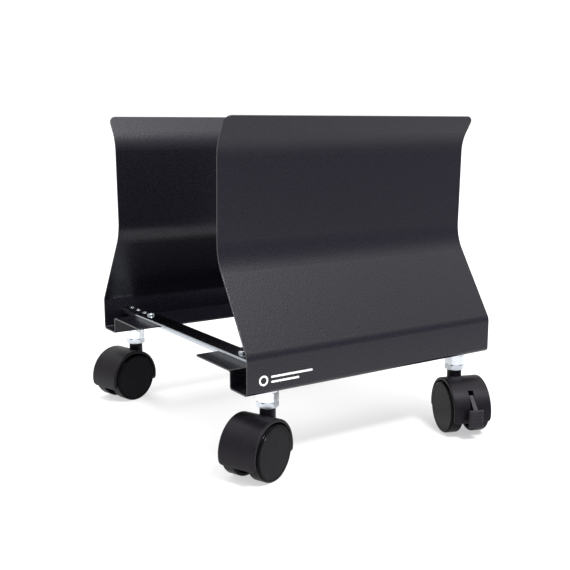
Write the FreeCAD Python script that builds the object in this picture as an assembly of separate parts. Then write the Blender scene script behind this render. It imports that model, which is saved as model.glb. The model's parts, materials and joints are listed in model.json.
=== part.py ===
# CPU holder on casters: two bent sheet-metal side panels joined by two crossbars that the
# computer stands on, carried by four twin-wheel casters, the rear pair with brake levers.
#
# Millimetres. +X runs across the holder, -Y is its front, +Z is up. The origin is on the
# floor, at the centre of the rectangle of the four caster stems.
import FreeCAD, Part
import math
import os

# ---- driving dimensions ----
PANEL_LENGTH = 280.0        # side panels, along Y
SHEET = 1.5                 # sheet thickness of panels and crossbars
FLOOR_TO_PANEL = 75.0       # floor to the underside of the side panels
EDGE_ROUND = 0.35           # rounding of the coated sheet edges

BAND_X = 153.0              # outer face of the vertical band at the foot of a panel
BAND_TOP = 33.9             # heights below are above the underside of the panel
WAIST_X = 105.3             # where the slope ends and the upright part starts
WAIST_Z = 110.4
UPRIGHT_TOP_X = 107.4       # where the outward lip starts
UPRIGHT_TOP_Z = 206.0
LIP_X = 121.7               # free top edge of the lip
LIP_Z = 230.1
CHANNEL_WIDTH = 29.2        # open channel at the foot, over its outer faces
SHELF_TOP = 17.3            # top face of the shelf flange
SHELF_WIDTH = 62.1
LIP_CORNER = 7.0
SHELF_CORNER = 3.0
SHELF_BEND = 1.5            # bend radii, each on the outer or under face of the sheet
CHANNEL_BEND = 3.0
FOOT_BEND = 4.0
BAND_BEND = 12.0
WAIST_BEND = 46.0
LIP_BEND = 37.5

BAR_Y = 110.3               # crossbars and caster stems lie on these two lines
BAR_HALF_LENGTH = 150.8
BAR_WIDTH = 20.5
BAR_HEIGHT = 4.5
BAR_BEND = 2.0
BAR_HOLE_RADIUS = 2.5
BAR_HOLE_PITCH = 16.0
BAR_HOLES_PER_END = 4
BAR_SCREW_X = 96.0
BAR_SEAT_HALF = 90.5        # the clear stretch between the screw heads, which the computer rests on

STEM_X = 137.4
STEM_RADIUS = 5.0           # M10
STEM_TIP_CHAMFER = 0.8
HEX_FLATS = 17.0
COLLAR_HEIGHT = 5.35
NUT_HEIGHT = 9.3
STEM_WASHER = 2.0
STEM_WASHER_RADIUS = 10.0
STEM_ABOVE_NUT = 2.2
PIN_RADIUS = 4.0            # plain lower end of the stem, which the hood turns about
PIN_END_Z = 31.6
CLIP_Z = 38.0
CLIP_HEIGHT = 1.0
CLIP_GROOVE_RADIUS = 3.3
CLIP_RADIUS = 5.0
CLIP_OPENING = 2.0

RUNNING_GAP = 0.05          # radial clearance of every turning fit
SEAT_GAP = 0.01             # radial clearance of every fixed fit
THREAD_GAP = 0.02

TRAIL = 17.2                # stem axis to wheel axle
WHEEL_RADIUS = 25.0
WHEEL_INNER_W = 7.6         # wheel faces, measured along the axle from the stem plane
WHEEL_OUTER_W = 20.0
WHEEL_HOLLOW_RADIUS = 22.3
WHEEL_WEB = 2.2
WHEEL_BEVEL = 1.8
WHEEL_INNER_ROUND = 1.0
WHEEL_RIBS = 6
WHEEL_RIB = 1.4
HUB_RADIUS = 6.0
AXLE_RADIUS = 3.0
AXLE_HALF_LENGTH = 17.0
AXLE_GROOVE_W = 14.5        # centre of the ring groove that a wheel's snap bead sits in
AXLE_GROOVE_DEPTH = 0.4
AXLE_GROOVE_HALF = 0.7

HOOD_RADIUS = 29.4
HOOD_WALL = 2.8
HOOD_WIDTH = 37.6
HOOD_TRAILING_DEG = -18.0   # the hood's lower edge behind the wheels
HOOD_LEADING_DEG = 196.0    # and in front of them
HOOD_BEAD_RADIUS = 25.4     # the wall is thicker along both lower edges
HOOD_BEAD_DEG = 8.0
HOOD_CORNER = 4.0
HOOD_EDGE_ROUND = 0.8
HOOD_WEB = 9.0
HOOD_PLAIN_WEB_DEG = 50.0   # where the web of a hood without a brake starts
NECK_RADIUS = 7.1
NECK_LOW = 20.0             # heights of neck and boss are above the wheel axle
BOSS_RADIUS = 6.2
BOSS_LOW = -2.0
BOSS_WALL = 1.5             # of the boss round the axle
BORE_END_GAP = 0.6

SLOT_WIDTH = 5.4            # the lever's slot in the hood of a braked caster
SLOT_TOP_DEG = 46.5
SLOT_BOTTOM_DEG = -12.0
POCKET_RADIUS = 9.0         # the lever's pocket in the web starts this far from the axle
POCKET_TOP_DEG = 62.0
LEVER_THICKNESS = 4.0
LEVER_SIDE_GAP = 0.3
LEVER_PIVOT = (14.0, 2.0)   # from the wheel axle: behind it, and above it
LEVER_HUB_RADIUS = 3.2
LEVER_PIN_RADIUS = 1.5
LEVER_FIN_TOP = (22.6, 17.4)
SHOE = (17.0, 11.2)
SHOE_RADIUS = 1.5
SHOE_ROOM = 0.6
SHOE_HALF_LENGTH = 11.8
LEVER_LIFT_DEG = 18.0
PEDAL_INNER_S = 34.0
PEDAL_OUTER_S = 36.2
PEDAL_LOW = -11.0
PEDAL_HIGH = 6.3
PEDAL_WIDTH = 14.5
PEDAL_CORNER = 0.8
PEDAL_RIBS = 6              # across the upper part of the pedal
PEDAL_RIB_PITCH = 1.9
PEDAL_RIB_RADIUS = 0.65
PEDAL_RIB_INSET = 1.0

SCREW_RADIUS = 2.0          # M4
SCREW_HEAD_RADIUS = 4.0
SCREW_HEAD_HEIGHT = 2.4
SCREW_HEAD_ROUND = 1.5
RECESS_LENGTH = 4.2         # cross recess in the screw head
RECESS_WIDTH = 1.0
RECESS_DEPTH = 1.3
RECESS_TURN_DEG = 25.0
SCREW_NUT_FLATS = 7.0
SCREW_NUT_HEIGHT = 3.2
SCREW_WASHER = 0.8
SCREW_WASHER_RADIUS = 4.5
SCREW_BELOW_NUT = 1.0
HOLE_GAP = 0.3              # radial clearance of a panel's hole round a screw or stem

# Name, stem position, and the direction in which the wheels trail behind the stem.
CASTERS = [
    ("front_right", STEM_X, -BAR_Y, -67.7, False),
    ("front_left", -STEM_X, -BAR_Y, -74.2, False),
    ("rear_right", STEM_X, BAR_Y, -19.8, True),
    ("rear_left", -STEM_X, BAR_Y, 199.8, True),
]

X_AXIS = FreeCAD.Vector(1, 0, 0)
Y_AXIS = FreeCAD.Vector(0, 1, 0)
Z_AXIS = FreeCAD.Vector(0, 0, 1)


# ---- helpers ----
def vec(x, y, z):
    return FreeCAD.Vector(x, y, z)


def polar(radius, degrees, centre=(0.0, 0.0)):
    """A point on a circle in the plane of a wheel: behind the axle, and above it."""
    angle = math.radians(degrees)
    return centre[0] + radius * math.cos(angle), centre[1] + radius * math.sin(angle)


def cylinder(radius, height, base, axis=Z_AXIS):
    return Part.makeCylinder(radius, height, base, axis)


def cross_rod(radius, half_length, s, z):
    """A rod along Y, centred on the plane of the stem."""
    return cylinder(radius, 2 * half_length, vec(s, -half_length, z), Y_AXIS)


def block(low, high):
    size = vec(*high) - vec(*low)
    return Part.makeBox(size.x, size.y, size.z, vec(*low))


def hex_prism(flats, height, x, y, z):
    corner = flats / math.sqrt(3)
    points = []
    for turn in range(7):
        angle = math.radians(60 * turn)
        points.append(vec(x + corner * math.cos(angle), y + corner * math.sin(angle), z))
    return Part.Face(Part.makePolygon(points)).extrude(vec(0, 0, height))


def chamfered_hex(flats, height, x, y, z):
    """A hexagon with its corners turned off at 30 degrees, above and below."""
    corner = flats / math.sqrt(3)
    drop = (corner - flats / 2) * math.tan(math.radians(30))
    outline = [
        (0, z), (flats / 2, z), (corner, z + drop),
        (corner, z + height - drop), (flats / 2, z + height), (0, z + height), (0, z),
    ]
    turned = Part.Face(Part.makePolygon([vec(x + r, y, h) for r, h in outline]))
    return hex_prism(flats, height, x, y, z).common(turned.revolve(vec(x, y, 0), Z_AXIS, 360))


def upright_plate(points, thickness):
    """A plate parallel to the wheels, centred on the plane of the stem."""
    outline = Part.makePolygon([vec(s, -thickness / 2, z) for s, z in points + points[:1]])
    return Part.Face(outline).extrude(vec(0, thickness, 0))


def sector(inner, outer, start_deg, end_deg, width):
    """A slice of a tube about the wheel axle, centred on the plane of the stem."""
    middle = (start_deg + end_deg) / 2

    def at(radius, degrees):
        s, z = polar(radius, degrees)
        return vec(s, -width / 2, z)

    edges = [Part.Arc(at(outer, start_deg), at(outer, middle), at(outer, end_deg)).toShape()]
    if inner > 0:
        edges.append(Part.makeLine(at(outer, end_deg), at(inner, end_deg)))
        edges.append(Part.Arc(at(inner, end_deg), at(inner, middle), at(inner, start_deg)).toShape())
        edges.append(Part.makeLine(at(inner, start_deg), at(outer, start_deg)))
    else:
        edges.append(Part.makeLine(at(outer, end_deg), at(0, 0)))
        edges.append(Part.makeLine(at(0, 0), at(outer, start_deg)))
    return Part.Face(Part.Wire(edges)).extrude(vec(0, width, 0))


def one_solid(shape):
    return shape.removeSplitter().Solids[0]


def round_edges(solid, radius, wanted):
    edges = [edge for edge in solid.Edges if wanted(edge)]
    return solid.makeFillet(radius, edges)


def save(node, *solids):
    shape = solids[0] if len(solids) == 1 else Part.makeCompound(list(solids))
    if not shape.isValid():
        raise ValueError(node + " is not a valid shape")
    shape.exportStep(os.path.join("parts", node + ".step"))


# ---- sheet metal ----
def bent_sheet(points, radii, thickness):
    """The section of a sheet bent along a path in the XZ plane, as a closed face.

    The path is one face of the sheet, and the other face lies to its left. Each radius is
    the bend radius on the path's own face.
    """
    corners = [vec(x, 0, z) for x, z in points]

    def face_edges(offset):
        edges = []
        start = None
        for i, corner in enumerate(corners):
            if i == 0 or i == len(corners) - 1:
                ahead = corners[1] - corners[0] if i == 0 else corner - corners[i - 1]
                ahead.normalize()
                end = corner + left_of(ahead) * offset
                if start is not None:
                    edges.append(Part.makeLine(start, end))
                start = end
                continue
            before = (corner - corners[i - 1]).normalize()
            after = (corners[i + 1] - corner).normalize()
            turn = math.atan2(before.x * after.z - before.z * after.x, before.dot(after))
            side = math.copysign(1.0, turn)
            radius = radii[i - 1]
            reach = radius * math.tan(abs(turn) / 2)
            entry = corner - before * reach
            centre = entry + left_of(before) * radius * side
            own = radius - offset * side
            towards = (corner - centre).normalize()
            first = entry + left_of(before) * offset
            last = corner + after * reach + left_of(after) * offset
            edges.append(Part.makeLine(start, first))
            edges.append(Part.Arc(first, centre + towards * own, last).toShape())
            start = last
        return edges

    near = face_edges(0.0)
    far = face_edges(thickness)
    near_start, near_end = near[0].Vertexes[0].Point, near[-1].Vertexes[-1].Point
    far_start, far_end = far[0].Vertexes[0].Point, far[-1].Vertexes[-1].Point
    caps = [Part.makeLine(near_end, far_end), Part.makeLine(near_start, far_start)]
    return Part.Face(Part.Wire(Part.__sortEdges__(near + far + caps)))


def left_of(direction):
    return vec(-direction.z, 0, direction.x)


def corner_cutter(radius, depth, corner, along, toward_a, toward_b):
    """What a rounded corner takes off a square one: a square prism less a quarter round."""
    a, b = toward_a * radius, toward_b * radius
    outline = [corner, corner + a, corner + a + b, corner + b, corner]
    square = Part.Face(Part.makePolygon(outline)).extrude(along * depth)
    return square.cut(cylinder(radius, depth, corner + a + b, along))


def side_panel():
    """The right-hand panel, from the tip of its shelf round the channel and up to its lip."""
    underside = SHELF_TOP - SHEET
    shelf_in = BAND_X - CHANNEL_WIDTH
    path = [
        (shelf_in - SHELF_WIDTH, underside), (shelf_in, underside), (shelf_in, 0.0), (BAND_X, 0.0),
        (BAND_X, BAND_TOP), (WAIST_X, WAIST_Z), (UPRIGHT_TOP_X, UPRIGHT_TOP_Z), (LIP_X, LIP_Z),
    ]
    radii = [SHELF_BEND, CHANNEL_BEND, FOOT_BEND, BAND_BEND, WAIST_BEND, LIP_BEND]
    section = bent_sheet([(x, z + FLOOR_TO_PANEL) for x, z in path], radii, SHEET)
    section.translate(vec(0, -PANEL_LENGTH / 2, 0))
    sheet = section.extrude(vec(0, PANEL_LENGTH, 0))

    margin = 1.0
    depth = SHEET + 2 * margin
    lip_up = vec(LIP_X - UPRIGHT_TOP_X, 0, LIP_Z - UPRIGHT_TOP_Z).normalize()
    lip_across = left_of(lip_up)
    for end in (-1, 1):
        inward = Y_AXIS * -end
        lip_end = vec(LIP_X, end * PANEL_LENGTH / 2, FLOOR_TO_PANEL + LIP_Z) - lip_across * margin
        sheet = sheet.cut(corner_cutter(LIP_CORNER, depth, lip_end, lip_across, inward, lip_up * -1))
        below_shelf = FLOOR_TO_PANEL + underside - margin
        tip = vec(shelf_in - SHELF_WIDTH, end * PANEL_LENGTH / 2, below_shelf)
        sheet = sheet.cut(corner_cutter(SHELF_CORNER, depth, tip, Z_AXIS, inward, X_AXIS))

        y = end * BAR_Y
        stem_hole = vec(STEM_X, y, FLOOR_TO_PANEL - margin)
        sheet = sheet.cut(cylinder(STEM_RADIUS + HOLE_GAP, depth, stem_hole))
        screw_hole = vec(BAR_SCREW_X, y, below_shelf)
        sheet = sheet.cut(cylinder(SCREW_RADIUS + HOLE_GAP, depth, screw_hole))

    def cut_end(edge):
        box = edge.BoundBox
        at_end = abs(abs(box.YMin) - PANEL_LENGTH / 2) < 0.01 and box.YLength < 0.01
        return at_end and edge.Length > SHEET + 0.1
    return round_edges(one_solid(sheet), EDGE_ROUND, cut_end)


def crossbar(y):
    """A strip with both long edges folded down, and a row of holes at each end.

    It is drawn as three lengths, so that its top face is divided beside the screw heads and
    the stretch which the computer rests on is a face of its own.
    """
    top = FLOOR_TO_PANEL + SHELF_TOP + BAR_HEIGHT
    half = BAR_WIDTH / 2
    # Drawn along X and turned, because the bent section lies in the XZ plane.
    path = [(half, top - BAR_HEIGHT), (half, top), (-half, top), (-half, top - BAR_HEIGHT)]
    section = bent_sheet(path, [BAR_BEND, BAR_BEND], SHEET)
    section.rotate(vec(0, 0, 0), Z_AXIS, 90)
    stations = [-BAR_HALF_LENGTH, -BAR_SEAT_HALF, BAR_SEAT_HALF, BAR_HALF_LENGTH]
    lengths = []
    for start, end in zip(stations, stations[1:]):
        length = section.copy()
        length.translate(vec(start, y, 0))
        lengths.append(length.extrude(vec(end - start, 0, 0)))
    bar = lengths[0].fuse(lengths[1:])
    margin = 1.0
    for side in (-1, 1):
        for step in range(BAR_HOLES_PER_END):
            x = side * (BAR_SCREW_X + BAR_HOLE_PITCH * step)
            below = vec(x, y, top - SHEET - margin)
            bar = bar.cut(cylinder(BAR_HOLE_RADIUS, SHEET + 2 * margin, below))
    return bar.Solids[0]


# ---- crossbar fasteners ----
def crossbar_fasteners(x, y):
    """Pan-head screw with a cross recess, and the washer and nut under the shelf."""
    seat = FLOOR_TO_PANEL + SHELF_TOP + BAR_HEIGHT
    underside = FLOOR_TO_PANEL + SHELF_TOP - SHEET
    washer_low = underside - SCREW_WASHER
    nut_low = washer_low - SCREW_NUT_HEIGHT
    tip = nut_low - SCREW_BELOW_NUT

    head = cylinder(SCREW_HEAD_RADIUS, SCREW_HEAD_HEIGHT, vec(x, y, seat))
    crown = seat + SCREW_HEAD_HEIGHT
    head = round_edges(head, SCREW_HEAD_ROUND, lambda edge: edge.BoundBox.ZMin > crown - 0.01)
    reach, width = RECESS_LENGTH / 2, RECESS_WIDTH / 2
    for turn in (0, 90):
        arm = block((-reach, -width, 0), (reach, width, 2 * RECESS_DEPTH))
        arm.rotate(vec(0, 0, 0), Z_AXIS, turn + RECESS_TURN_DEG)
        arm.translate(vec(x, y, crown - RECESS_DEPTH))
        head = head.cut(arm)
    screw = head.fuse(cylinder(SCREW_RADIUS, seat - tip, vec(x, y, tip)))

    washer = cylinder(SCREW_WASHER_RADIUS, SCREW_WASHER, vec(x, y, washer_low))
    washer = washer.cut(cylinder(SCREW_RADIUS + 0.2, SCREW_WASHER, vec(x, y, washer_low)))
    nut = chamfered_hex(SCREW_NUT_FLATS, SCREW_NUT_HEIGHT, x, y, nut_low)
    nut = nut.cut(cylinder(SCREW_RADIUS + THREAD_GAP, SCREW_NUT_HEIGHT, vec(x, y, nut_low)))
    return one_solid(screw), washer, nut


# ---- caster stems, which stay with the panels ----
STEM_NUT_TOP = FLOOR_TO_PANEL + SHEET + STEM_WASHER + NUT_HEIGHT
LOCK_NUT_LOW = FLOOR_TO_PANEL - STEM_WASHER - NUT_HEIGHT
COLLAR_LOW = LOCK_NUT_LOW - COLLAR_HEIGHT
NECK_TOP = COLLAR_LOW - 0.3


def caster_stem(x, y):
    """Threaded stem, hexagon collar, and the plain grooved pin below it."""
    tip = STEM_NUT_TOP + STEM_ABOVE_NUT
    thread = cylinder(STEM_RADIUS, tip - LOCK_NUT_LOW, vec(x, y, LOCK_NUT_LOW))
    top_edges = [edge for edge in thread.Edges if edge.BoundBox.ZMin > STEM_NUT_TOP]
    thread = thread.makeChamfer(STEM_TIP_CHAMFER, top_edges)
    collar = chamfered_hex(HEX_FLATS, COLLAR_HEIGHT, x, y, COLLAR_LOW)
    pin = cylinder(PIN_RADIUS, COLLAR_LOW - PIN_END_Z, vec(x, y, PIN_END_Z))
    groove_height = CLIP_HEIGHT + 0.2
    groove_low = vec(x, y, CLIP_Z - 0.1)
    groove = cylinder(PIN_RADIUS + 1, groove_height, groove_low)
    groove = groove.cut(cylinder(CLIP_GROOVE_RADIUS, groove_height, groove_low))
    return one_solid(thread.fuse([collar, pin]).cut(groove))


def stem_nut(x, y, low):
    nut = chamfered_hex(HEX_FLATS, NUT_HEIGHT, x, y, low)
    return nut.cut(cylinder(STEM_RADIUS + THREAD_GAP, NUT_HEIGHT, vec(x, y, low)))


def stem_washer(x, y, low):
    washer = cylinder(STEM_WASHER_RADIUS, STEM_WASHER, vec(x, y, low))
    return washer.cut(cylinder(STEM_RADIUS + HOLE_GAP, STEM_WASHER, vec(x, y, low)))


def stem_clip(x, y):
    """The spring ring that snaps into the hood's bore and keeps it on the pin."""
    half = CLIP_OPENING / 2
    clip = cylinder(CLIP_RADIUS, CLIP_HEIGHT, vec(x, y, CLIP_Z))
    clip = clip.cut(cylinder(CLIP_GROOVE_RADIUS + THREAD_GAP, CLIP_HEIGHT, vec(x, y, CLIP_Z)))
    opening = block((x, y - half, CLIP_Z), (x + CLIP_RADIUS + 1, y + half, CLIP_Z + CLIP_HEIGHT))
    return clip.cut(opening)


# ---- caster pieces, drawn about the wheel axle: +X behind the stem, +Y along the axle ----
def place(shape, stem_x, stem_y, trail_deg):
    """Move a piece from the wheel axle's own frame to its caster."""
    shape.translate(vec(TRAIL, 0, WHEEL_RADIUS))
    shape.rotate(vec(0, 0, 0), Z_AXIS, trail_deg)
    shape.translate(vec(stem_x, stem_y, 0))
    return shape


def hood_cover():
    """The curved wall of the hood, thickened along its two lower edges, with round corners."""
    inner = HOOD_RADIUS - HOOD_WALL
    cover = sector(inner, HOOD_RADIUS, HOOD_TRAILING_DEG, HOOD_LEADING_DEG, HOOD_WIDTH)
    for start in (HOOD_TRAILING_DEG, HOOD_LEADING_DEG - HOOD_BEAD_DEG):
        middle_of_wall = HOOD_RADIUS - HOOD_WALL / 2
        bead = sector(HOOD_BEAD_RADIUS, middle_of_wall, start, start + HOOD_BEAD_DEG, HOOD_WIDTH)
        cover = cover.fuse(bead)

    def at_corner(edge):
        return edge.BoundBox.YLength < 0.01 and on_lower_edge(edge)
    cover = round_edges(one_solid(cover), HOOD_CORNER, at_corner)
    return round_edges(cover, HOOD_EDGE_ROUND, lambda edge: is_arc(edge, HOOD_RADIUS))


def is_arc(edge, radius):
    return isinstance(edge.Curve, Part.Circle) and abs(edge.Curve.Radius - radius) < 0.01


def on_lower_edge(edge):
    """Whether an edge of the hood lies on its trailing or its leading end face."""
    points = [vertex.Point for vertex in edge.Vertexes]
    for degrees in (HOOD_TRAILING_DEG, HOOD_LEADING_DEG):
        s, z = polar(1.0, degrees)
        if all(abs(s * point.z - z * point.x) < 0.01 for point in points):
            return True
    return False


def hood(braked):
    """Moulded cover over both wheels, with its neck, central web and bearing bosses."""
    web_start = HOOD_TRAILING_DEG if braked else HOOD_PLAIN_WEB_DEG
    web = sector(0, HOOD_RADIUS - HOOD_WALL / 2, web_start, HOOD_LEADING_DEG, HOOD_WEB)
    axle_boss = cross_rod(HUB_RADIUS + BOSS_WALL, WHEEL_INNER_W - 0.4, 0, 0)
    neck = cylinder(NECK_RADIUS, NECK_TOP - WHEEL_RADIUS - NECK_LOW, vec(-TRAIL, 0, NECK_LOW))
    boss = cylinder(BOSS_RADIUS, NECK_LOW + 1 - BOSS_LOW, vec(-TRAIL, 0, BOSS_LOW))
    body = hood_cover().fuse([web, axle_boss, neck, boss])

    bore_low = PIN_END_Z - BORE_END_GAP - WHEEL_RADIUS
    body = body.cut(cylinder(PIN_RADIUS + RUNNING_GAP, 40, vec(-TRAIL, 0, bore_low)))
    clip_low = CLIP_Z - 0.3 - WHEEL_RADIUS
    body = body.cut(cylinder(CLIP_RADIUS + 0.2, CLIP_HEIGHT + 0.6, vec(-TRAIL, 0, clip_low)))
    body = body.cut(cross_rod(AXLE_RADIUS + SEAT_GAP, WHEEL_INNER_W, 0, 0))
    if braked:
        body = body.cut(lever_room())
    return one_solid(body)


def lever_room():
    """What a braked hood leaves open: the lever's slot, its pocket, and the shoe's path."""
    inner = HOOD_RADIUS - HOOD_WALL
    slot = sector(inner - 3, HOOD_RADIUS + 2, SLOT_BOTTOM_DEG, SLOT_TOP_DEG, SLOT_WIDTH)
    pocket_width = LEVER_THICKNESS + 2 * LEVER_SIDE_GAP
    room = slot.fuse(sector(POCKET_RADIUS, inner, HOOD_TRAILING_DEG - 5, POCKET_TOP_DEG, pocket_width))
    reach = math.hypot(SHOE[0] - LEVER_PIVOT[0], SHOE[1] - LEVER_PIVOT[1])
    start = math.degrees(math.atan2(SHOE[1] - LEVER_PIVOT[1], SHOE[0] - LEVER_PIVOT[0]))
    steps = 6
    for step in range(-1, steps + 2):
        s, z = polar(reach, start + LEVER_LIFT_DEG * step / steps, LEVER_PIVOT)
        room = room.fuse(cross_rod(SHOE_RADIUS + SHOE_ROOM, WHEEL_INNER_W, s, z))
    pin = cross_rod(LEVER_PIN_RADIUS + SEAT_GAP, WHEEL_INNER_W, *LEVER_PIVOT)
    return room.fuse(pin)


def axle():
    """Steel pin through the hood's boss, grooved near each end for the wheels' snap beads."""
    pin = cross_rod(AXLE_RADIUS, AXLE_HALF_LENGTH, 0, 0)
    pin = pin.makeChamfer(0.5, [edge for edge in pin.Edges if is_arc(edge, AXLE_RADIUS)])
    width = 2 * AXLE_GROOVE_HALF
    for side in (-1, 1):
        low = vec(0, side * AXLE_GROOVE_W - AXLE_GROOVE_HALF, 0)
        ring = cylinder(AXLE_RADIUS + 1, width, low, Y_AXIS)
        pin = pin.cut(ring.cut(cylinder(AXLE_RADIUS - AXLE_GROOVE_DEPTH, width, low, Y_AXIS)))
    return one_solid(pin)


def wheel(side):
    """Nylon wheel, open towards the hood's web, its smooth disc and bevel facing outwards."""
    web_in = WHEEL_OUTER_W - WHEEL_WEB
    bore = AXLE_RADIUS + RUNNING_GAP
    bore_end = AXLE_HALF_LENGTH + 0.4
    bead = AXLE_RADIUS - AXLE_GROOVE_DEPTH + 2 * RUNNING_GAP
    bevel_r = WHEEL_RADIUS - WHEEL_BEVEL
    bevel_w = WHEEL_OUTER_W - WHEEL_BEVEL

    def at(r, w):
        return vec(r, w, 0)

    round_in = WHEEL_INNER_ROUND
    lift = math.sqrt(0.5)
    arc_out = Part.Arc(at(bevel_r, WHEEL_OUTER_W),
                       at(bevel_r + WHEEL_BEVEL * lift, bevel_w + WHEEL_BEVEL * lift),
                       at(WHEEL_RADIUS, bevel_w)).toShape()
    arc_in = Part.Arc(at(WHEEL_RADIUS, WHEEL_INNER_W + round_in),
                      at(WHEEL_RADIUS - round_in * (1 - lift), WHEEL_INNER_W + round_in * (1 - lift)),
                      at(WHEEL_RADIUS - round_in, WHEEL_INNER_W)).toShape()
    outside = Part.makeLine(at(0, WHEEL_OUTER_W), at(bevel_r, WHEEL_OUTER_W))
    tread = Part.makeLine(at(WHEEL_RADIUS, bevel_w), at(WHEEL_RADIUS, WHEEL_INNER_W + round_in))
    inside = [
        (WHEEL_RADIUS - round_in, WHEEL_INNER_W), (WHEEL_HOLLOW_RADIUS, WHEEL_INNER_W),
        (WHEEL_HOLLOW_RADIUS, web_in), (HUB_RADIUS, web_in), (HUB_RADIUS, WHEEL_INNER_W),
        (bore, WHEEL_INNER_W), (bore, AXLE_GROOVE_W - 0.4), (bead, AXLE_GROOVE_W - 0.2),
        (bead, AXLE_GROOVE_W + 0.2), (bore, AXLE_GROOVE_W + 0.4), (bore, bore_end), (0, bore_end),
        (0, WHEEL_OUTER_W),
    ]
    rest = [Part.makeLine(at(*a), at(*b)) for a, b in zip(inside, inside[1:])]
    section = Part.Face(Part.Wire([outside, arc_out, tread, arc_in] + rest))
    body = section.revolve(vec(0, 0, 0), Y_AXIS, 360)
    rib_in = SHOE_HALF_LENGTH + 1.2
    rib_low = (HUB_RADIUS - 0.5, rib_in, -WHEEL_RIB / 2)
    rib_high = (WHEEL_HOLLOW_RADIUS + 0.5, web_in + 0.5, WHEEL_RIB / 2)
    for turn in range(WHEEL_RIBS):
        rib = block(rib_low, rib_high)
        rib.rotate(vec(0, 0, 0), Y_AXIS, 360 / WHEEL_RIBS * turn)
        body = body.fuse(rib)
    body = one_solid(body)
    if side < 0:
        body = body.mirror(vec(0, 0, 0), Y_AXIS)
    return body


def brake_lever():
    """Fin, shoe bar and ribbed pedal in one moulding, turning on its pin in the hood."""
    pivot_s, pivot_z = LEVER_PIVOT
    into_pedal = PEDAL_INNER_S + 0.5
    outline = [
        (pivot_s - LEVER_HUB_RADIUS, pivot_z + 1.0), (SHOE[0] - 2.6, SHOE[1] + 1.4), LEVER_FIN_TOP,
        (into_pedal, PEDAL_HIGH - 0.3), (into_pedal, -6.5), (pivot_s + 1.0, pivot_z - 3.1),
    ]
    fin = upright_plate(outline, LEVER_THICKNESS)
    hub = cross_rod(LEVER_HUB_RADIUS, LEVER_THICKNESS / 2, pivot_s, pivot_z)
    shoe = cross_rod(SHOE_RADIUS, SHOE_HALF_LENGTH, *SHOE)
    half = PEDAL_WIDTH / 2
    pedal = block((PEDAL_INNER_S, -half, PEDAL_LOW), (PEDAL_OUTER_S, half, PEDAL_HIGH))
    pedal = round_edges(pedal, PEDAL_CORNER, lambda edge: edge.BoundBox.XLength < 0.01)
    rib_half = half - PEDAL_RIB_INSET
    ribs = []
    for index in range(PEDAL_RIBS):
        z = PEDAL_HIGH - PEDAL_RIB_INSET - PEDAL_RIB_PITCH * (index + 0.25)
        ribs.append(cross_rod(PEDAL_RIB_RADIUS, rib_half, PEDAL_OUTER_S, z))
    lever = fin.fuse([hub, shoe, pedal] + ribs)
    return one_solid(lever.cut(cross_rod(LEVER_PIN_RADIUS + RUNNING_GAP, half, pivot_s, pivot_z)))


def lever_pin():
    return cross_rod(LEVER_PIN_RADIUS, HOOD_WEB / 2, *LEVER_PIVOT)


# ---- assembly ----
def main():
    os.makedirs("parts", exist_ok=True)

    right = side_panel()
    save("right_side_panel", right)
    save("left_side_panel", right.mirror(vec(0, 0, 0), X_AXIS))
    save("front_crossbar", crossbar(-BAR_Y))
    save("rear_crossbar", crossbar(BAR_Y))

    places = [(side * BAR_SCREW_X, end * BAR_Y) for side in (-1, 1) for end in (-1, 1)]
    screws, washers, nuts = zip(*[crossbar_fasteners(x, y) for x, y in places])
    save("crossbar_screws", *screws)
    save("crossbar_washers", *washers)
    save("crossbar_nuts", *nuts)

    stems = [(x, y) for _, x, y, _, _ in CASTERS]
    nut_low = FLOOR_TO_PANEL + SHEET + STEM_WASHER
    save("stem_nuts", *[stem_nut(x, y, nut_low) for x, y in stems])
    save("stem_washers", *[stem_washer(x, y, FLOOR_TO_PANEL + SHEET) for x, y in stems])
    save("stem_lock_nuts", *[stem_nut(x, y, LOCK_NUT_LOW) for x, y in stems])
    save("stem_lock_washers", *[stem_washer(x, y, FLOOR_TO_PANEL - STEM_WASHER) for x, y in stems])
    save("stem_clips", *[stem_clip(x, y) for x, y in stems])

    for name, x, y, trail_deg, braked in CASTERS:
        save(name + "_caster_stem", caster_stem(x, y))
        save(name + "_caster_hood", place(hood(braked), x, y, trail_deg))
        save(name + "_caster_axle", place(axle(), x, y, trail_deg))
        for label, side in (("wheel_a", 1), ("wheel_b", -1)):
            save(name + "_caster_" + label, place(wheel(side), x, y, trail_deg))
        if braked:
            save(name + "_brake_lever", place(brake_lever(), x, y, trail_deg))
            save(name + "_lever_pin", place(lever_pin(), x, y, trail_deg))


main()
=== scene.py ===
"""The looks of the CPU holder: finishes, small details, and a white studio with its camera."""
import json
import math

import bmesh
import bpy
from mathutils import Euler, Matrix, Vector

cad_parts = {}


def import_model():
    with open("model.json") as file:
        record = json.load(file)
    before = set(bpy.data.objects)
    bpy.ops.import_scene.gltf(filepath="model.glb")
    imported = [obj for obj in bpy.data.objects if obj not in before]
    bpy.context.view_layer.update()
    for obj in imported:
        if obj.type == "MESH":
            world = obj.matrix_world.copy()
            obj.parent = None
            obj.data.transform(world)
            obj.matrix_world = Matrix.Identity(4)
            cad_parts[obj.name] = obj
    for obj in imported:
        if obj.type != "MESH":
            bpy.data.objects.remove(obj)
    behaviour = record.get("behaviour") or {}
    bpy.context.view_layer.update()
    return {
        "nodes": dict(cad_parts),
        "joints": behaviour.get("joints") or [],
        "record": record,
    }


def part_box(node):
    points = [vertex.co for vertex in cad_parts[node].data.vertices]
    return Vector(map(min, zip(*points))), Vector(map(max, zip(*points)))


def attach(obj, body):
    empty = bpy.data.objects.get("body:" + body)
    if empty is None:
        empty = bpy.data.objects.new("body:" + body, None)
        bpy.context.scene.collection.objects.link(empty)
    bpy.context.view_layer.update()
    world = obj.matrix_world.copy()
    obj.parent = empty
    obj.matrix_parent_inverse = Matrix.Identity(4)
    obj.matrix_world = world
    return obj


MM = 0.001

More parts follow.
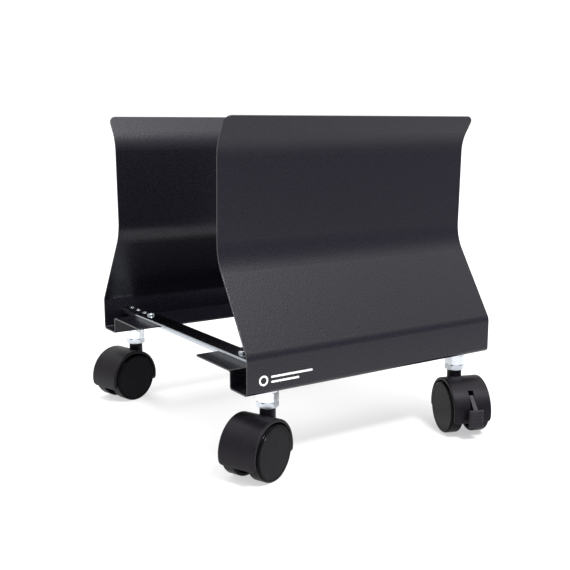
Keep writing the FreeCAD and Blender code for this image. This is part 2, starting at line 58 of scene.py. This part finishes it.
# Sizes in millimetres that the frame doesn't state.
WHEEL_RADIUS = 25.0
WHEEL_BEVEL = 1.8
RIM_SKIN = 0.06             # how far the polished rim stands out of the wheel
RIM_START_DEG = 15          # where it leaves the tread, round the bevel
RIM_STEPS = 8
RIDGE_INSET = 0.7           # from the bevel's inner edge to the middle of the disc's fine ridge
RIDGE_OUTLINE = ((0.2, RIM_SKIN), (0.1, 0.2), (-0.1, 0.2), (-0.25, -0.1))   # (radius, height) from there
SCREW_HEAD_RADIUS = 4.0
STEM_RADIUS = 5.0           # M10
STEM_PITCH = 1.5
STEM_CHAMFER = 0.8
SCREW_RADIUS = 2.0          # M4
SCREW_PITCH = 0.7
THREAD_DEPTH = 0.1          # of a thread's ridge, both out of and into its cylinder
THREAD_HALF_WIDTH = 0.25    # of its ridge, in pitches
THREAD_STEPS = 32           # to a turn
BAR_HOLE_RADIUS = 2.5
BAR_HOLE_PITCH = 16.0
BAR_FREE_HOLES = 3          # at each end, beyond the screw
BURR_GAP = 0.35             # edge of a hole to the middle of its burr
BURR_RADIUS = 0.3
BURR_HEIGHT = 0.28
BURR_SUNK = 0.02            # how deep its foot lies in the bar
BURR_STEPS = 6
INK = 0.06                  # how far the print stands out of the panel, and reaches into it
RING_Y = -124.0             # the printed mark, on the panel's face
RING_Z = 87.2
RING_INNER = 2.9
RING_OUTER = 4.5
STRIPE_START_Y = -116.5
STRIPES = ((-74.0, 88.6, 90.4), (-88.0, 84.2, 86.0))    # end, lower edge and upper edge of each
STRIPE_STEPS = 24

SHARP_DEG = 40              # edges bent more than this stay sharp

# The studio, in metres, with directions seen from the object.
UNLIT_SIDE = (0.83, 0.55, -0.08)
FLOOR_HALF = 30.0
FLOOR_DUSK_SIDE = (0.78, 0.625, 0.0)
FLOOR_DUSK_REACH = 0.95     # how far that way the floor gets to its darkest
FLOOR_GLOW = 1.3
KEY_DIRECTION = (0.585, -0.05, 0.81)
KEY_DISTANCE = 3.0
KEY_SIZE = 0.5
KEY_WATTS = 110
CAMERA_PLACE = (0.76055, -0.50450, 0.29858)
CAMERA_DIP = 0.1794         # radians below the horizon
CAMERA_TURN = 0.9864        # radians from looking along +Y, towards -X
CAMERA_LENS_MM = 56.17
CAMERA_SENSOR_MM = 36.0

# Nodes whose plating looks darker than their record slot's, by the end of their names.
OWN_FINISH = {"_caster_stem": "stem_zinc", "crossbar_screws": "screw_zinc"}


# ---- node helpers ----
class Finish:
    """One procedural material, built around a Principled shader."""

    def __init__(self, name, **sockets):
        self.material = bpy.data.materials.new(name)
        self.material.use_nodes = True
        self.nodes = self.material.node_tree.nodes
        self.links = self.material.node_tree.links
        self.shader = self.nodes["Principled BSDF"]
        for socket, value in sockets.items():
            self.shader.inputs[socket.replace("_", " ")].default_value = value
        self.place = self.nodes.new("ShaderNodeTexCoord").outputs["Object"]

    def noise(self, size_mm, detail=2.0):
        """A noise whose features are about size_mm across, in the piece's own frame."""
        texture = self.nodes.new("ShaderNodeTexNoise")
        texture.inputs["Scale"].default_value = 1.0 / (size_mm * MM)
        texture.inputs["Detail"].default_value = detail
        self.links.new(self.place, texture.inputs["Vector"])
        return texture.outputs["Fac"]

    def ramp(self, factor, low, high, start=0.35, end=0.65):
        """Runs from the colour low to the colour high as the factor goes from start to end."""
        ramp = self.nodes.new("ShaderNodeValToRGB")
        ramp.color_ramp.elements[0].position = start
        ramp.color_ramp.elements[0].color = (*low, 1.0)
        ramp.color_ramp.elements[1].position = end
        ramp.color_ramp.elements[1].color = (*high, 1.0)
        self.links.new(factor, ramp.inputs["Fac"])
        return ramp.outputs["Color"]

    def spread(self, factor, low, high, start=0.3, end=0.7):
        """Maps the factor's range from start to end onto the one from low to high."""
        spread = self.nodes.new("ShaderNodeMapRange")
        spread.inputs["From Min"].default_value = start
        spread.inputs["From Max"].default_value = end
        spread.inputs["To Min"].default_value = low
        spread.inputs["To Max"].default_value = high
        self.links.new(factor, spread.inputs["Value"])
        return spread.outputs["Result"]

    def colour(self, output):
        self.links.new(output, self.shader.inputs["Base Color"])

    def roughness(self, output):
        self.links.new(output, self.shader.inputs["Roughness"])

    def bump(self, height, depth_mm, strength=1.0):
        """Adds a bump of that depth on top of any bump already there."""
        bump = self.nodes.new("ShaderNodeBump")
        bump.inputs["Strength"].default_value = strength
        bump.inputs["Distance"].default_value = depth_mm * MM
        self.links.new(height, bump.inputs["Height"])
        normal = self.shader.inputs["Normal"]
        if normal.is_linked:
            self.links.new(normal.links[0].from_socket, bump.inputs["Normal"])
        self.links.new(bump.outputs["Normal"], normal)


# ---- finishes ----
def powder_coat():
    """Charcoal semi-gloss powder coat, with a fine grain and a faint orange peel."""
    coat = Finish("powder_coat", Specular_IOR_Level=0.44, Specular_Tint=(0.97, 0.95, 1.0, 1.0))
    cloud = coat.noise(size_mm=1.3, detail=3.0)
    coat.colour(coat.ramp(cloud, low=(0.0018, 0.0015, 0.0032), high=(0.0040, 0.0036, 0.0062)))
    coat.roughness(coat.spread(coat.noise(size_mm=1.2), low=0.23, high=0.35))
    coat.bump(coat.noise(size_mm=4.0, detail=1.0), depth_mm=0.02, strength=0.5)
    coat.bump(coat.noise(size_mm=1.4), depth_mm=0.16)
    return coat.material


def zinc_plate(name, grey, rough_low, rough_high):
    """Bright zinc plating, slightly blue and slightly clouded."""
    zinc = Finish(name, Metallic=1.0)
    low = (grey - 0.06, grey - 0.03, grey + 0.01)
    high = (grey, grey + 0.03, grey + 0.06)
    zinc.colour(zinc.ramp(zinc.noise(size_mm=4.0), low, high))
    zinc.roughness(zinc.spread(zinc.noise(size_mm=1.2, detail=3.0), rough_low, rough_high))
    return zinc.material


def turned_steel():
    """Plain steel with the fine unevenness that turning leaves."""
    steel = Finish("turned_steel", Metallic=1.0)
    cloud = steel.noise(size_mm=1.5)
    steel.colour(steel.ramp(cloud, low=(0.42, 0.42, 0.43), high=(0.56, 0.56, 0.57)))
    steel.roughness(steel.spread(steel.noise(size_mm=0.8, detail=3.0), low=0.25, high=0.4))
    return steel.material


def nylon(name, ior, low, high, rough_low, rough_high, grain_mm, grain_depth):
    """Black moulded nylon with a spark-eroded grain."""
    moulded = Finish(name, IOR=ior, Specular_Tint=(0.98, 0.9, 1.0, 1.0))
    moulded.colour(moulded.ramp(moulded.noise(size_mm=5.0, detail=3.0), low, high))
    moulded.roughness(moulded.spread(moulded.noise(size_mm=2.0, detail=3.0), rough_low, rough_high))
    moulded.bump(moulded.noise(grain_mm), grain_depth, strength=0.7)
    return moulded.material


def polished_nylon():
    """The same black nylon where the mould was polished, at the rim of a wheel."""
    rim = Finish("polished_nylon", IOR=1.14)
    cloud = rim.noise(size_mm=5.0)
    rim.colour(rim.ramp(cloud, low=(0.0008, 0.0008, 0.001), high=(0.0014, 0.0014, 0.0017)))
    rim.roughness(rim.spread(rim.noise(size_mm=3.0), low=0.07, high=0.11))
    return rim.material


def print_ink():
    """Off-white ink, slightly uneven in cover and in gloss."""
    ink = Finish("print_ink", Specular_IOR_Level=0.3)
    cover = ink.noise(size_mm=1.5, detail=3.0)
    ink.colour(ink.ramp(cover, low=(0.66, 0.66, 0.67), high=(0.78, 0.78, 0.79)))
    ink.roughness(ink.spread(ink.noise(size_mm=0.6), low=0.4, high=0.55))
    return ink.material


# ---- pieces ----
def piece(name, points, faces, material, body):
    """A mesh piece, from points in millimetres in the frame, that moves with a CAD body."""
    mesh = bpy.data.meshes.new(name)
    mesh.from_pydata([Vector(point) * MM for point in points], [], faces)
    shell = bmesh.new()
    shell.from_mesh(mesh)
    bmesh.ops.recalc_face_normals(shell, faces=shell.faces)
    shell.to_mesh(mesh)
    shell.free()
    mesh.materials.append(material)
    mesh.shade_smooth()
    mesh.set_sharp_from_angle(angle=math.radians(SHARP_DEG))
    made = bpy.data.objects.new(name, mesh)
    bpy.context.scene.collection.objects.link(made)
    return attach(made, body)


def joined(sections, size, closed=True):
    """Faces over equal sections of points, section after section; an open row gets both ends capped."""
    faces = []
    for section in range(sections if closed else sections - 1):
        here, there = section * size, (section + 1) % sections * size
        for index in range(size):
            after = (index + 1) % size
            faces.append((here + index, there + index, there + after, here + after))
    if not closed:
        last = (sections - 1) * size
        faces.append(tuple(range(size)))
        faces.append(tuple(range(last + size - 1, last - 1, -1)))
    return faces


def turned(profile, centre, axis, segments=120):
    """Points and faces of a ring: a closed outline of (radius, height) turned about an axis."""
    side = axis.orthogonal().normalized()
    other = axis.cross(side)
    points = []
    for segment in range(segments):
        angle = math.tau * segment / segments
        outward = side * math.cos(angle) + other * math.sin(angle)
        points += [centre + outward * radius + axis * height for radius, height in profile]
    return points, joined(segments, len(profile))


def wheel_rims(frame, material):
    """The polished bevel of each wheel, and the fine ridge inside it."""
    bevel_r = WHEEL_RADIUS - WHEEL_BEVEL
    skin_r = WHEEL_BEVEL + RIM_SKIN
    profile = []
    for step in range(RIM_STEPS + 1):
        angle = math.radians(RIM_START_DEG + (90 - RIM_START_DEG) * step / RIM_STEPS)
        profile.append((bevel_r + skin_r * math.cos(angle), skin_r * math.sin(angle) - WHEEL_BEVEL))
    ridge_r = bevel_r - RIDGE_INSET
    profile += [(ridge_r + out, height) for out, height in RIDGE_OUTLINE]
    profile.append((bevel_r, -WHEEL_BEVEL))
    for joint in frame["joints"]:
        if not joint["name"].endswith("_spin"):
            continue
        wheel = joint["child"]
        node = frame["nodes"][wheel.replace("_wheel", "_caster_wheel")]
        axis = Vector(joint["axis"]).normalized()
        if wheel.endswith("_b"):
            axis.negate()
        hub = Vector(joint["pos_m"])
        disc = max((vertex.co - hub).dot(axis) for vertex in node.data.vertices)
        points, faces = turned(profile, (hub + axis * disc) / MM, axis)
        piece(wheel + "_rim", points, faces, material, wheel)


def thread(radius, pitch, x, y, low, high):
    """Points and faces of the helical ridge of a screw thread, standing upright."""
    root, crest = radius - THREAD_DEPTH, radius + THREAD_DEPTH
    half_width = THREAD_HALF_WIDTH * pitch
    outline = ((root, -half_width), (crest, 0.0), (root, half_width))
    sections = int((high - low - 2 * half_width) / pitch * THREAD_STEPS) + 1
    points = []
    for section in range(sections):
        angle = math.tau * section / THREAD_STEPS
        middle = low + pitch * (THREAD_HALF_WIDTH + section / THREAD_STEPS)
        for out, rise in outline:
            points.append((x + out * math.cos(angle), y + out * math.sin(angle), middle + rise))
    return points, joined(sections, len(outline), closed=False)


def threads(frame, material):
    """The thread ends at the stem nuts and at the small nuts, from one turn inside the nut."""
    nut_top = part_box("stem_nuts")[1].z / MM
    for joint in frame["joints"]:
        if not joint["name"].endswith("_swivel"):
            continue
        caster = joint["name"].replace("_swivel", "")
        x, y = (Vector(joint["pos_m"]) / MM).xy
        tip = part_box(caster + "_caster_stem")[1].z / MM
        points, faces = thread(STEM_RADIUS, STEM_PITCH, x, y, nut_top - STEM_PITCH, tip - STEM_CHAMFER)
        piece(caster + "_stem_thread", points, faces, material, "frame")
    low, high = (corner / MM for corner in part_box("crossbar_screws"))
    nut_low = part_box("crossbar_nuts")[0].z / MM
    for side, x in (("left", low.x + SCREW_HEAD_RADIUS), ("right", high.x - SCREW_HEAD_RADIUS)):
        for end, y in (("front", low.y + SCREW_HEAD_RADIUS), ("rear", high.y - SCREW_HEAD_RADIUS)):
            points, faces = thread(SCREW_RADIUS, SCREW_PITCH, x, y, low.z, nut_low + SCREW_PITCH)
            piece(f"{end}_{side}_screw_thread", points, faces, material, "frame")


def hole_rims(material):
    """The raised burr that punching left round each free hole of the crossbars."""
    screw_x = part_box("crossbar_screws")[1].x / MM - SCREW_HEAD_RADIUS
    burr_r = BAR_HOLE_RADIUS + BURR_GAP
    profile = []
    for step in range(BURR_STEPS + 1):
        angle = math.pi * step / BURR_STEPS
        profile.append((burr_r - BURR_RADIUS * math.cos(angle), BURR_HEIGHT * math.sin(angle) - BURR_SUNK))
    for bar in ("front_crossbar", "rear_crossbar"):
        low, high = (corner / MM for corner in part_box(bar))
        points, faces = [], []
        for side in (-1, 1):
            for hole in range(1, BAR_FREE_HOLES + 1):
                x = side * (screw_x + BAR_HOLE_PITCH * hole)
                centre = Vector((x, (low.y + high.y) / 2, high.z))
                ring, quads = turned(profile, centre, Vector((0, 0, 1)), segments=40)
                faces += [tuple(len(points) + index for index in quad) for quad in quads]
                points += ring
        piece(bar + "_hole_rims", points, faces, material, "frame")


def stripe_outline(y_to, z_low, z_high):
    """The (y, z) points of a stripe with round ends."""
    radius = (z_high - z_low) / 2
    outline = []
    for step in range(STRIPE_STEPS):
        angle = math.tau * (step + 0.5) / STRIPE_STEPS
        end = y_to - radius if math.cos(angle) > 0 else STRIPE_START_Y + radius
        outline.append((end + radius * math.cos(angle), z_low + radius + radius * math.sin(angle)))
    return outline


def printed_mark(material):
    """A plain ring and two stripes, printed on the foot of the right-hand panel."""
    face_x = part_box("right_side_panel")[1].x / MM
    ring = [(RING_INNER, -INK), (RING_OUTER, -INK), (RING_OUTER, INK), (RING_INNER, INK)]
    points, faces = turned(ring, Vector((face_x, RING_Y, RING_Z)), Vector((1, 0, 0)), segments=64)
    for stripe in STRIPES:
        outline = stripe_outline(*stripe)
        first = len(points)
        points += [Vector((face_x + depth, y, z)) for depth in (-INK, INK) for y, z in outline]
        quads = joined(2, len(outline), closed=False)
        faces += [tuple(first + index for index in face) for face in quads]
    piece("printed_mark", points, faces, material, "frame")


# ---- stage ----
def studio_world():
    """A white surround, brighter overhead, and darker low down beyond the right-hand panel."""
    world = bpy.data.worlds.new("studio")
    bpy.context.scene.world = world
    world.use_nodes = True
    nodes, links = world.node_tree.nodes, world.node_tree.links
    background = nodes["Background"]
    direction = nodes.new("ShaderNodeTexCoord").outputs["Generated"]

    def along(axis, stops):
        """A colour by how far a direction points along an axis, from (cosine, colour) stops."""
        dot = nodes.new("ShaderNodeVectorMath")
        dot.operation = "DOT_PRODUCT"
        dot.inputs[1].default_value = axis
        links.new(direction, dot.inputs[0])
        ramp = nodes.new("ShaderNodeValToRGB")
        ramp.color_ramp.interpolation = "EASE"
        marks = ramp.color_ramp.elements
        while len(marks) < len(stops):
            marks.new(0.5)
        for mark, (position, tone) in zip(marks, stops):
            mark.position = position
            mark.color = (*tone, 1.0)
        links.new(dot.outputs["Value"], ramp.inputs["Fac"])
        return ramp.outputs["Color"]

    white, overhead, dusk = (1.06, 1.06, 1.06), (2.4, 2.4, 2.4), (0.42, 0.41, 0.53)
    height = along((0, 0, 1), [(0.0, white), (0.6, white), (0.82, overhead)])
    dark_side = along(UNLIT_SIDE, [(0.72, (1, 1, 1)), (0.93, dusk)])
    mix = nodes.new("ShaderNodeMix")
    mix.data_type = "RGBA"
    mix.blend_type = "MULTIPLY"
    mix.inputs["Factor"].default_value = 1.0
    links.new(height, mix.inputs["A"])
    links.new(dark_side, mix.inputs["B"])
    links.new(mix.outputs["Result"], background.inputs["Color"])
    background.inputs["Strength"].default_value = 1.0


def softbox(name, direction, distance, size, power):
    """A square lamp in that direction from the object, facing it."""
    light = bpy.data.lights.new(name, "AREA")
    light.shape = "SQUARE"
    light.size = size
    light.energy = power
    lamp = bpy.data.objects.new(name, light)
    lamp.location = Vector(direction).normalized() * distance
    lamp.rotation_euler = lamp.location.to_track_quat("Z", "Y").to_euler()
    bpy.context.scene.collection.objects.link(lamp)


def studio_floor():
    """A wide white floor that darkens away from the object, towards the unlit side."""
    mesh = bpy.data.meshes.new("floor")
    corners = [(x * FLOOR_HALF, y * FLOOR_HALF, 0) for x, y in ((-1, -1), (1, -1), (1, 1), (-1, 1))]
    mesh.from_pydata(corners, [], [(0, 1, 2, 3)])
    floor = bpy.data.objects.new("floor", mesh)
    bpy.context.scene.collection.objects.link(floor)
    paint = Finish("floor_paint", Roughness=0.7, Specular_IOR_Level=0.2)
    away = paint.nodes.new("ShaderNodeVectorMath")
    away.operation = "DOT_PRODUCT"
    away.inputs[1].default_value = FLOOR_DUSK_SIDE
    paint.links.new(paint.place, away.inputs[0])
    white, dusk = (0.42, 0.42, 0.42), (0.13, 0.13, 0.155)
    reach = paint.spread(away.outputs["Value"], 0.0, 1.0, 0.0, FLOOR_DUSK_REACH)
    shade = paint.ramp(reach, white, dusk, 0.0, 1.0)
    paint.colour(shade)
    paint.links.new(shade, paint.shader.inputs["Emission Color"])
    paint.shader.inputs["Emission Strength"].default_value = FLOOR_GLOW
    mesh.materials.append(paint.material)


def camera():
    """The camera at the front right, a little above the holder."""
    shot = bpy.data.cameras.new("camera")
    shot.lens = CAMERA_LENS_MM
    shot.sensor_width = CAMERA_SENSOR_MM
    view = bpy.data.objects.new("camera", shot)
    view.location = CAMERA_PLACE
    view.rotation_euler = Euler((math.pi / 2 - CAMERA_DIP, 0.0, CAMERA_TURN))
    bpy.context.scene.collection.objects.link(view)
    bpy.context.scene.camera = view


# ---- assembly ----
def make_finishes():
    """The finishes of the CAD nodes, by slot name, and the two of OWN_FINISH."""
    return {
        "powder_coat": powder_coat(),
        "zinc_plate": zinc_plate("zinc_plate", grey=0.7, rough_low=0.16, rough_high=0.26),
        "bar_zinc": zinc_plate("bar_zinc", grey=0.4, rough_low=0.06, rough_high=0.12),
        "stem_zinc": zinc_plate("stem_zinc", grey=0.5, rough_low=0.12, rough_high=0.2),
        "screw_zinc": zinc_plate("screw_zinc", grey=0.42, rough_low=0.2, rough_high=0.3),
        "plain_steel": turned_steel(),
        "hood_nylon": nylon(
            "hood_nylon", ior=1.25, low=(0.0022, 0.0018, 0.0028), high=(0.0038, 0.0033, 0.0048),
            rough_low=0.36, rough_high=0.46, grain_mm=0.5, grain_depth=0.02),
        "wheel_nylon": nylon(
            "wheel_nylon", ior=1.165, low=(0.0016, 0.0013, 0.0020), high=(0.0030, 0.0026, 0.0036),
            rough_low=0.3, rough_high=0.38, grain_mm=0.6, grain_depth=0.008),
        "lever_nylon": nylon(
            "lever_nylon", ior=1.36, low=(0.0032, 0.0028, 0.0038), high=(0.0054, 0.0048, 0.0064),
            rough_low=0.36, rough_high=0.46, grain_mm=0.5, grain_depth=0.015),
    }


def finish_name(node_name, slots):
    """A node's own finish where OWN_FINISH has one, or else its slot in the record."""
    for ending, own in OWN_FINISH.items():
        if node_name.endswith(ending):
            return own
    return slots[node_name]


def paint_nodes(frame, finishes):
    """Gives every CAD node its finish."""
    slots = {part["node"]: part["material_slot"] for part in frame["record"]["subparts"]}
    for name, node in frame["nodes"].items():
        node.data.materials.clear()
        node.data.materials.append(finishes[finish_name(name, slots)])


def main():
    """Dresses the frame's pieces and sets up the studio."""
    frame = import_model()
    finishes = make_finishes()
    paint_nodes(frame, finishes)
    wheel_rims(frame, polished_nylon())
    threads(frame, finishes["zinc_plate"])
    hole_rims(finishes["zinc_plate"])
    printed_mark(print_ink())
    studio_world()
    softbox("key", KEY_DIRECTION, KEY_DISTANCE, KEY_SIZE, KEY_WATTS)
    studio_floor()
    camera()
    bpy.context.scene.view_settings.view_transform = "Standard"


main()
